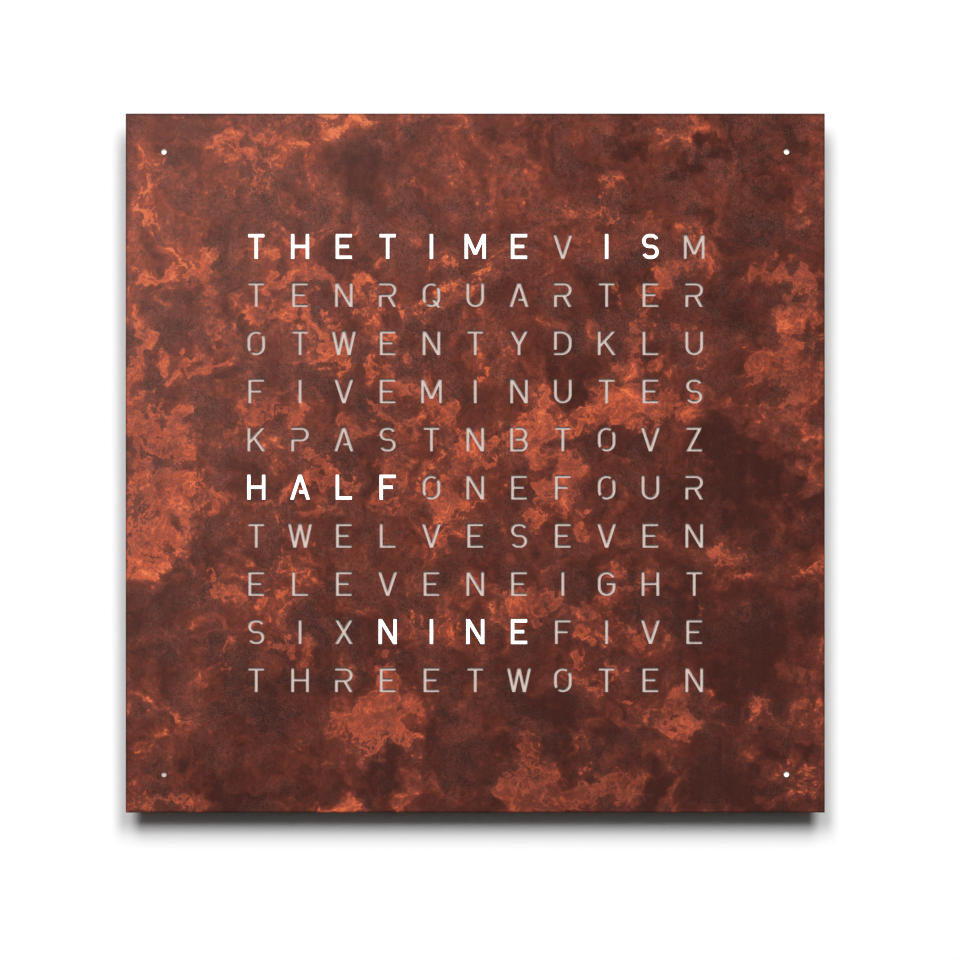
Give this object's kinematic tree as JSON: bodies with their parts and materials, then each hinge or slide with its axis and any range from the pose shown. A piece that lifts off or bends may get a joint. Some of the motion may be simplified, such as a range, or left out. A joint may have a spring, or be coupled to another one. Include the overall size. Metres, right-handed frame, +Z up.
{
  "type": "word clock",
  "caption": "Square wall clock with a rusted steel face, a grid of stencil letters lit from behind and a minute dot in each corner.",
  "frame": {"origin": "centre of the face that touches the wall", "axes": "+X to the right and +Z up as seen from the front, +Y into the wall, so the face with the letters looks along -Y"},
  "size_m": [0.45, 0.02, 0.45],
  "materials": {
    "rusted_steel": "natural rust patina over mild steel, matt",
    "opal_sheet": "opal acrylic, satin",
    "plain_steel": "bright steel",
    "housing_plastic": "moulded black plastic, fine grain",
    "nickel_magnet": "nickel-plated neodymium",
    "zinc_steel": "zinc-plated sheet steel",
    "screw_steel": "zinc-plated",
    "foam": "closed-cell foam",
    "white_plastic": "white moulded plastic",
    "circuit_board": "glass-fibre board with solder mask",
    "led_package": "white package with yellow phosphor",
    "chip_black": "black epoxy",
    "cable_jacket": "grey jacket",
    "capacitor_can": "aluminium can",
    "black_plastic": "black plastic",
    "cell_steel": "stainless steel",
    "contact_brass": "plated brass",
    "clear_plastic": "clear epoxy",
    "ferrite": "sintered ferrite",
    "copper_wire": "enamelled copper",
    "button_plastic": "black acetal",
    "spring_steel": "spring steel"
  },
  "bodies": {
    "housing": {"antenna_clips": "white_plastic", "antenna_coil": "copper_wire", "antenna_wires": "copper_wire", "brightness_switch_dome": "spring_steel", "button_switches": "black_plastic", "clock_crystal": "plain_steel", "coin_cell": "cell_steel", "coin_cell_holder": "black_plastic", "controller_board": "circuit_board", "controller_screws": "screw_steel", "corner_leads": "cable_jacket", "corner_led_boards": "circuit_board", "corner_leds": "led_package", "corner_screws": "screw_steel", "cover_magnets": "nickel_magnet", "display_ribbon_cable": "cable_jacket", "ferrite_antenna_rod": "ferrite", "hanger_screws": "screw_steel", "hour_switch_dome": "spring_steel", "keyhole_hangers": "zinc_steel", "lead_connectors": "white_plastic", "led_driver_chips": "chip_black", "led_matrix_board": "circuit_board", "letter_leds": "led_package", "light_baffle_grid": "white_plastic", "light_sensor": "clear_plastic", "light_sensor_window": "clear_plastic", "microcontroller": "chip_black", "minute_light_tubes": "white_plastic", "minute_switch_dome": "spring_steel", "mode_switch_dome": "spring_steel", "panel_screws": "screw_steel", "power_socket": "black_plastic", "power_socket_pin": "contact_brass", "radio_chip": "chip_black", "radio_lead": "cable_jacket", "radio_receiver_board": "circuit_board", "radio_screws": "screw_steel", "rear_housing": "housing_plastic", "ribbon_headers": "black_plastic", "ribbon_plugs": "black_plastic", "smoothing_capacitors": "capacitor_can", "voltage_regulator": "chip_black", "wall_gasket": "foam"},
    "front_cover": {"front_plate": "rusted_steel", "letter_diffuser": "opal_sheet", "minute_dot_diffusers": "opal_sheet", "cover_locating_pins": "plain_steel"},
    "hour_button": {"hour_button": "button_plastic"},
    "minute_button": {"minute_button": "button_plastic"},
    "mode_button": {"mode_button": "button_plastic"},
    "brightness_button": {"brightness_button": "button_plastic"}
  },
  "joints": [
    {"name": "cover_pull_off", "type": "slide", "parent": "housing", "child": "front_cover", "axis": [0, -1, 0], "range_m": [0, 0.06]},
    {"name": "hour_button_press", "type": "slide", "parent": "housing", "child": "hour_button", "axis": [0, 0, 1], "range_m": [0, 0.0005], "stiffness_N_per_m": 400, "springref_m": -0.001, "deforming": ["hour_switch_dome"]},
    {"name": "minute_button_press", "type": "slide", "parent": "housing", "child": "minute_button", "axis": [0, 0, 1], "range_m": [0, 0.0005], "stiffness_N_per_m": 400, "springref_m": -0.001, "deforming": ["minute_switch_dome"]},
    {"name": "mode_button_press", "type": "slide", "parent": "housing", "child": "mode_button", "axis": [0, 0, 1], "range_m": [0, 0.0005], "stiffness_N_per_m": 400, "springref_m": -0.001, "deforming": ["mode_switch_dome"]},
    {"name": "brightness_button_press", "type": "slide", "parent": "housing", "child": "brightness_button", "axis": [0, 0, 1], "range_m": [0, 0.0005], "stiffness_N_per_m": 400, "springref_m": -0.001, "deforming": ["brightness_switch_dome"]}
  ]
}
